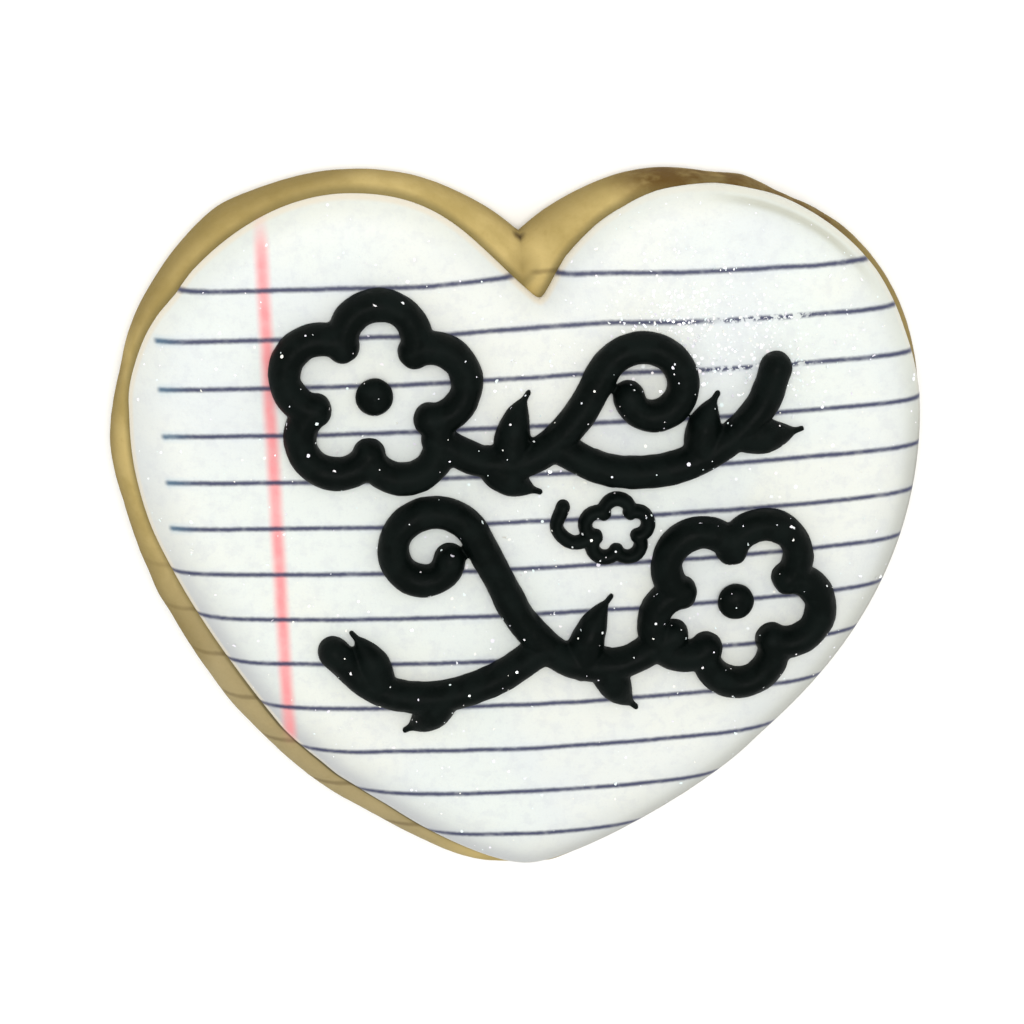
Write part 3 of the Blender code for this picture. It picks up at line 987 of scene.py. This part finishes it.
def curlFrom(path, radius, turns, hand, inner):
    # a spiral that carries on from the end of a path; hand is 1 for anticlockwise
    ahead = (path[-1] - path[-2]) / np.linalg.norm(path[-1] - path[-2])
    centre = path[-1] + radius * hand * np.array([-ahead[1], ahead[0]])
    first = math.atan2(*(path[-1] - centre)[::-1])
    rows = []
    for share in np.linspace(0.0, 1.0, 90)[1:]:
        reach = radius * (1.0 - (1.0 - inner) * share)
        angle = first + hand * share * turns * 2.0 * math.pi
        rows.append(centre + reach * np.array([math.cos(angle), math.sin(angle)]))
    return np.vstack([path, rows])


def petalArcs(centre, reach, radius, turn, sweep=103):
    arcs = []
    for k in range(pipedBead["petals"]):
        axis = turn + 360.0 * k / pipedBead["petals"]
        middle = np.array(centre) + reach * heading(axis)
        arcs.append(np.array([middle + radius * heading(axis + spread)
                              for spread in np.linspace(-sweep, sweep, 60)]))
    return arcs


def leafPath(base, degrees, length, bend):
    points = [np.array(base, float)]
    steps = 16
    for k in range(steps):
        points.append(points[-1] + length / steps * heading(degrees + bend * k / steps))
    return np.array(points)


def beadSize(width, share):
    return width / 2.0, min(pipedBead["height"], pipedBead["slimRise"] * width)


def leafSize(width, share):
    # plump near its base, with a fine low tip
    swell = math.sin(math.pi * min(1.0, 0.30 + 0.75 * share)) ** 0.8
    half = width / 2.0 * max(0.16, swell)
    return half, min(pipedBead["height"], 0.3 + 1.35 * half)


def strokeRings(path, width, sizeAt, seed):
    # rings of one bead: bulging sides, a flat foot sunk in the icing and rounded ends
    bead = pipedBead
    length = np.linalg.norm(np.diff(path, axis=0), axis=1).sum()
    path = evenSteps(path, max(6, round(length / bead["spacing"])))
    ahead = np.gradient(path, axis=0)
    ahead /= np.linalg.norm(ahead, axis=1)[:, None]
    side = np.stack([-ahead[:, 1], ahead[:, 0]], axis=1)
    last = len(path) - 1
    ends = np.radians(bead["ends"])
    stations = [(0, -math.sin(a), math.cos(a)) for a in ends]
    stations += [(i, 0.0, 1.0) for i in range(len(path))]
    stations += [(last, math.sin(a), math.cos(a)) for a in ends[::-1]]
    turns = np.radians(np.linspace(-bead["curlsIn"], 180 + bead["curlsIn"], bead["sides"]))
    across = np.cos(turns)
    below = math.sin(math.radians(bead["curlsIn"]))
    upward = (np.sin(turns) + below) / (1 + below)
    rings = []
    for i, beyond, size in stations:
        half, height = sizeAt(width, i / last)
        swell = 1.0 + bead["uneven"] * noise.noise(Vector((i * 0.11, seed * 3.7, 0.5)))
        swell += bead["uneven"] * noise.noise(Vector((i * 0.31, seed * 1.3, 9.5)))
        middle = path[i] + ahead[i] * beyond * half
        plan = middle + side[i] * (across * half * swell * size)[:, None]
        ground = icingTop(plan)
        rise = (height + bead["standOff"]) * (0.5 + 0.5 * size) * size ** 0.25
        rings.append(raised(plan, ground - bead["sunk"] + (rise + bead["sunk"]) * upward))
    return rings


def strokeSolid(rings):
    count = len(rings[0])
    points = np.vstack(rings)
    faces = ringFaces(len(rings), count)
    last = (len(rings) - 1) * count
    faces += [list(range(count)), list(range(last, last + count))]
    return points, faces


def joined(solids):
    points, faces, start = [], [], 0
    for some, theirs in solids:
        points.append(some)
        faces += [[start + i for i in face] for face in theirs]
        start += len(some)
    return np.vstack(points), faces


def skinned(name, points, faces, voxel):
    # one skin round overlapping beads, softened where they run together
    mesh = makeMesh(name + "Strokes", points, faces)
    holder = placed("beadHolder", mesh)
    remesh = holder.modifiers.new("skin", "REMESH")
    remesh.mode = "VOXEL"
    remesh.voxel_size = voxel * mm
    soften = holder.modifiers.new("soften", "SMOOTH")
    soften.factor = 0.5
    soften.iterations = 4
    bpy.context.view_layer.update()
    evaluated = holder.evaluated_get(bpy.context.evaluated_depsgraph_get())
    skin = bpy.data.meshes.new_from_object(evaluated)
    skin.name = name
    bpy.data.objects.remove(holder)
    bpy.data.meshes.remove(mesh)
    skin.shade_smooth()
    return skin


def pipingFinish():
    bead = pipedBead
    material, tree, shader = newFinish("blackPiping", bead["sockets"])
    place = placeInMm(tree)
    cloud = grain(place, 2.6, 3.0)
    base = blend(step(cloud, 0.4, 0.65), bead["black"], bead["blackSheen"])
    wire(base, shader.inputs["Base Color"])
    sugar = grain(place, 0.4, 3.0, 0.6)
    wire(step(cloud, 0.3, 0.7, 0.42, 0.62), shader.inputs["Roughness"])
    relief = calc("ADD", times(sugar, 0.35), grain(place, 1.1, 2.0))
    bump(shader, relief, 0.05)
    return material


def addPiping(name, runs, voxel, material, node):
    solids = [strokeSolid(strokeRings(path, width, sizeAt, seed))
              for seed, (path, width, sizeAt) in enumerate(runs)]
    mesh = skinned(name, *joined(solids), voxel)
    points, normals = pointsOf(mesh), normalsOf(mesh)
    drag = sum(height * wander(points, size, shift) for size, height, shift in pipedBead["drag"])
    setPoints(mesh, points + normals * (drag - pipedBead["settle"])[:, None])
    return addPiece(name, mesh, material, "black_icing", node)


def sprayRuns(spray):
    bead = pipedBead
    runs = [(arc, bead["width"], beadSize) for arc in petalArcs(**spray["flower"])]
    runs.append((curlFrom(smoothPath(spray["stem"]), **spray["curl"]), bead["width"], beadSize))
    runs.append((smoothPath(spray["tail"]), bead["width"], beadSize))
    runs += [(leafPath(*leaf), bead["leafWidth"], leafSize) for leaf in spray["leaves"]]
    return runs


def addEye(name, centre, material, node):
    # a dot of icing with a low peak where the tip was pulled away
    eye = flowerEye
    nibHeight, nibReach = eye["nib"]
    lowest, highest = eye["arc"]
    turns = np.linspace(0.0, 2.0 * math.pi, eye["points"], endpoint=False)
    circle = np.stack([np.cos(turns), np.sin(turns)], axis=1) * eye["radius"]
    rings = []
    for share in np.linspace(0.0, 1.0, eye["rings"], endpoint=False):
        angle = math.radians(lowest + (highest - lowest) * share)
        plan = np.array(centre) + circle * math.cos(angle)
        rise = (math.sin(angle) + 0.53) / 1.53 * (eye["height"] + eye["standOff"])
        nib = nibHeight * math.exp(-((math.cos(angle) / nibReach) ** 2))
        lean = np.array(eye["nibLean"]) * nib
        rings.append(raised(plan + lean, icingTop(plan) - eye["sunk"] + rise + nib))
    ground = icingTop(np.array([centre]))[0]
    foot = (*centre, ground - eye["sunk"])
    tip = np.array(eye["tip"]) + (*centre, ground + eye["height"])
    mesh = makeMesh(name, *ringSolid(rings, foot, tip))
    points, normals = pointsOf(mesh), normalsOf(mesh)
    setPoints(mesh, points + normals * (0.05 * wander(points, 1.2, 2.9))[:, None])
    return addPiece(name, mesh, material, "black_icing", node)


blackPiping = pipingFinish()
thinRuns = [(arc, pipedBead["thinWidth"], beadSize) for arc in petalArcs(**smallFlower["flower"])]
thinRuns.append((smoothPath(smallFlower["tail"]), pipedBead["thinWidth"], beadSize))
voxel, thinVoxel = pipedBead["voxel"], pipedBead["thinVoxel"]
beads = [
    addPiping("upperSprayPiping", sprayRuns(upperSpray), voxel, blackPiping, "upper_spray"),
    addPiping("lowerSprayPiping", sprayRuns(lowerSpray), voxel, blackPiping, "lower_spray"),
    addPiping("smallFlowerPiping", thinRuns, thinVoxel, blackPiping, "small_flower"),
    addEye("upperFlowerDot", upperSpray["flower"]["centre"], blackPiping, "upper_flower_eye"),
    addEye("lowerFlowerDot", lowerSpray["flower"]["centre"], blackPiping, "lower_flower_eye"),
]
print("piping done:", sum(len(bead.data.polygons) for bead in beads), "faces")


# glitter dust

glitterDust = {
    "seed": 27,
    "onIcing": 800,
    "clusters": [  # count, centre, spread
        (240, (17.5, 28.0), (5.5, 4.5)),
        (200, (17.5, 26.4), (2.8, 2.0)),
        (300, (27.0, 22.5), (5.0, 3.2)),
        (120, (4.0, 4.0), (9.0, 8.0)),
    ],
    "edgeRoom": 0.35,
    "lift": 0.01,  # flakes lie this far off what they lie on
    "onPiping": 170,
    "leastOnPiece": 4,
    "lowestOnPiping": 9.0,  # height above the table
    "sizes": (0.07, 0.26),  # radius of a flake; most are near the smaller
    "sides": 6,
    "thickness": 0.025,
    "tilt": 26,  # degrees, how far most flakes lie from flat
    "tints": [(0.95, 0.97, 0.96), (0.93, 0.94, 0.99), (0.99, 0.97, 0.88), (0.86, 0.97, 0.95),
              (0.93, 0.88, 0.98), (0.99, 0.93, 0.94)],
    "coolTint": (0.80, 0.86, 0.95),
    "sockets": {"Roughness": 0.2, "Specular IOR Level": 0.9, "Metallic": 0.15},
}


def flakes(places, normals, radii, tilts, rng):
    # flat plates, each turned at random and leaning from its normal
    count, sides = len(places), glitterDust["sides"]
    turns = np.arange(sides) * 2 * math.pi / sides
    lean = np.radians(tilts)[:, None]
    way = rng.uniform(0, 2 * math.pi, count)
    helper = np.where(np.abs(normals[:, 2:3]) > 0.8, [[1.0, 0.0, 0.0]], [[0.0, 0.0, 1.0]])
    first = np.cross(normals, helper)
    first /= np.linalg.norm(first, axis=1)[:, None]
    second = np.cross(normals, first)
    axis = first * np.cos(way)[:, None] + second * np.sin(way)[:, None]
    across = np.cross(normals, axis)
    up = normals * np.cos(lean) + across * np.sin(lean)
    across = np.cross(up, axis)
    cosines, sines = np.cos(turns)[None, :, None], np.sin(turns)[None, :, None]
    corner = (axis[:, None, :] * cosines + across[:, None, :] * sines) * radii[:, None, None]
    half = up[:, None, :] * glitterDust["thickness"] / 2
    middle = places[:, None, :]
    points = np.concatenate([middle + corner - half, middle + corner + half], axis=1).reshape(-1, 3)
    ring = [(i, (i + 1) % sides, (i + 1) % sides + sides, i + sides) for i in range(sides)]
    plate = [range(sides)[::-1], range(sides, 2 * sides), *ring]
    faces = [[2 * sides * k + i for i in face] for k in range(count) for face in plate]
    return points, faces


def glitterFinish():
    material, tree, shader = newFinish("glitterDust", glitterDust["sockets"])
    glint = step(grain(placeInMm(tree), 0.2, 2.0), 0.4, 0.7, 0.0, 0.25)
    base = blend(glint, painted(tree, "flakeTint", "Color"), glitterDust["coolTint"])
    wire(base, shader.inputs["Base Color"])
    return material


def addGlitter(name, places, normals, material, rng):
    dust = glitterDust
    count = len(places)
    small, large = dust["sizes"]
    radii = small + (large - small) * rng.uniform(0, 1, count) ** 3
    tilts = np.abs(rng.normal(0.0, dust["tilt"], count)).clip(0, 70)
    points, faces = flakes(places, normals, radii, tilts, rng)
    mesh = bpy.data.meshes.new(name)
    mesh.from_pydata((points * mm).tolist(), [], faces)
    setPoints(mesh, points)
    tints = np.array(dust["tints"])[rng.integers(0, len(dust["tints"]), count)]
    paint(mesh, "flakeTint", np.repeat(tints, 2 * dust["sides"], axis=0))
    return addPiece(name, mesh, material, None)


def scatterOnIcing(rng):
    dust = glitterDust
    spread = rng.uniform((-46, -42), (47, 43), (dust["onIcing"], 2))
    close = [rng.normal(centre, reach, (count, 2)) for count, centre, reach in dust["clusters"]]
    plan = np.vstack([spread, *close])
    # a place is inside where a line to its right crosses the edge an odd number of times
    start, end = icingEdge, np.roll(icingEdge, -1, axis=0)
    crosses = (start[None, :, 1] > plan[:, 1:2]) != (end[None, :, 1] > plan[:, 1:2])
    rise = np.where(end[:, 1] == start[:, 1], 1.0, end[:, 1] - start[:, 1])
    at = start[:, 0] + (plan[:, 1:2] - start[:, 1]) / rise * (end[:, 0] - start[:, 0])
    plan = plan[(crosses & (plan[:, 0:1] < at)).sum(axis=1) % 2 == 1]
    plan = plan[depthInside(plan, icingEdge) > dust["edgeRoom"]]
    reach = 0.2  # the slope is measured over this to both sides
    slopes = [(icingTop(plan + way) - icingTop(plan - way)) / (2 * reach) for way in np.eye(2) * reach]
    normals = np.column_stack([-slopes[0], -slopes[1], np.ones(len(plan))])
    normals /= np.linalg.norm(normals, axis=1)[:, None]
    return raised(plan, icingTop(plan) + dust["lift"]), normals


def scatterOnMesh(piece, count, rng):
    points, normals = pointsOf(piece.data), normalsOf(piece.data)
    upturned = np.flatnonzero((normals[:, 2] > 0.15) & (points[:, 2] > glitterDust["lowestOnPiping"]))
    chosen = rng.choice(upturned, count, replace=False)
    return points[chosen] + normals[chosen] * glitterDust["lift"], normals[chosen]


def scatterOnPiping(rng):
    beadPoints = sum(len(bead.data.vertices) for bead in beads)
    found = []
    for bead in beads:
        share = glitterDust["onPiping"] * len(bead.data.vertices) // beadPoints
        found.append(scatterOnMesh(bead, max(glitterDust["leastOnPiece"], share), rng))
    places, normals = zip(*found)
    return np.vstack(places), np.vstack(normals)


rng = np.random.default_rng(glitterDust["seed"])
dustFinish = glitterFinish()
icingDust = addGlitter("icingGlitter", *scatterOnIcing(rng), dustFinish, rng)
pipingDust = addGlitter("pipingGlitter", *scatterOnPiping(rng), dustFinish, rng)
flakeFaces = glitterDust["sides"] + 2
print("glitter dusted:", len(icingDust.data.polygons) // flakeFaces, "flakes on the icing,",
      len(pipingDust.data.polygons) // flakeFaces, "on the piping")


bpy.context.view_layer.update()
